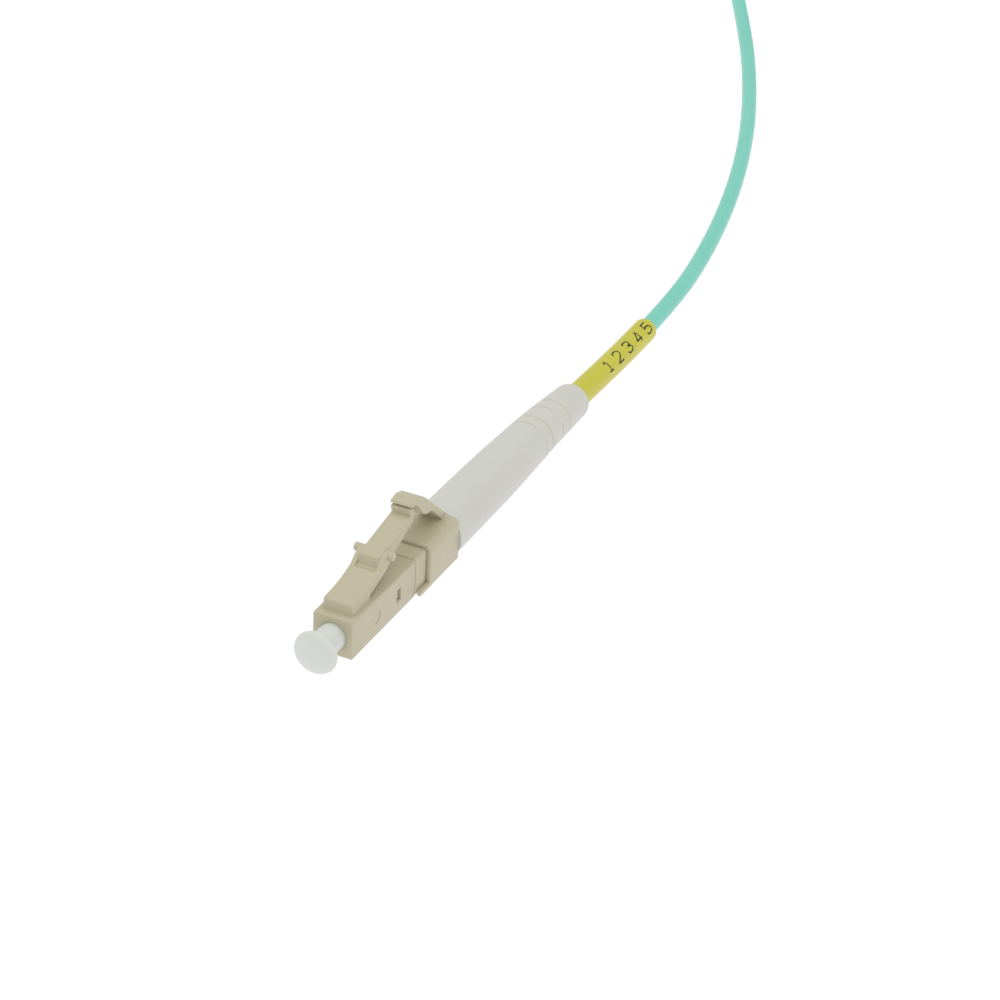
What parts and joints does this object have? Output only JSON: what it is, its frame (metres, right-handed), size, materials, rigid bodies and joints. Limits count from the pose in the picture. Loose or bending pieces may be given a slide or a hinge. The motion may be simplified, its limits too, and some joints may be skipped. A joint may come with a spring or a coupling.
{
  "type": "lc fibre connector",
  "caption": "Simplex LC fibre plug with latch, trigger, dust cap and strain-relief boot, on a thin round cable with a marker sleeve.",
  "frame": {"origin": "centre of the plug's front face, on the optical axis", "axes": "+X out of the plug's nose along the optical axis, towards the adapter; +Z towards the latch; +Y across the plug by the right-hand rule"},
  "size_m": [0.2356, 0.0491, 0.0114],
  "materials": {
    "housing_polymer": "satin, fine moulded texture, warm beige",
    "boot_elastomer": "satin, light warm grey",
    "cap_polymer": "satin, translucent natural white",
    "zirconia": "polished white ceramic",
    "plated_flange": "nickel plated, satin",
    "spring_steel": "drawn wire, bright",
    "crimp_metal": "plated brass, satin",
    "silica": "clear silica",
    "tube_polymer": "clear extruded polymer",
    "buffer_polymer": "extruded, satin",
    "aramid": "fine yellow yarn",
    "jacket_polymer": "extruded, satin aqua",
    "sleeve_polymer": "shrunk film, yellow, satin",
    "tie_fabric": "woven, matt black"
  },
  "bodies": {
    "plug": {"ferrule_spring": "spring_steel", "front_housing": "housing_polymer", "rear_body": "housing_polymer", "trigger_collar": "housing_polymer", "guide_tube": "tube_polymer", "aramid_yarn": "aramid", "crimp_ring": "crimp_metal", "jacket_end": "jacket_polymer", "boot": "boot_elastomer", "marker_sleeve": "sleeve_polymer", "cable": "jacket_polymer", "cable_coil": "jacket_polymer", "coil_tie_near": "tie_fabric", "coil_tie_far": "tie_fabric"},
    "ferrule_body": {"ferrule": "zirconia", "glass_fibre": "silica", "ferrule_flange": "plated_flange", "buffered_fibre": "buffer_polymer"},
    "latch": {"latch_arm": "housing_polymer"},
    "trigger": {"trigger_lever": "housing_polymer"},
    "cap": {"dust_cap": "cap_polymer"}
  },
  "joints": [
    {"name": "ferrule_float", "type": "slide", "parent": "plug", "child": "ferrule_body", "axis": [-1, 0, 0], "range_m": [0, 0.0006], "stiffness_N_per_m": 2000, "springref_m": -0.002, "deforming": ["ferrule_spring"]},
    {"name": "cap_pull", "type": "slide", "parent": "plug", "child": "cap", "axis": [1, 0, 0], "range_m": [0, 0.006]},
    {"name": "trigger_press", "type": "hinge", "parent": "plug", "child": "trigger", "pos_m": [-0.02095, 0, 0.00315], "axis": [0, 1, 0], "range_deg": [0, 8], "stiffness_Nm_per_rad": 0.02},
    {"name": "latch_press", "type": "hinge", "parent": "plug", "child": "latch", "pos_m": [-0.00475, 0, 0.00273], "axis": [0, -1, 0], "range_deg": [0, 6.8]}
  ],
  "couplings": [
    {"joint": "latch_press", "follows": "trigger_press", "ratio": 0.85}
  ]
}
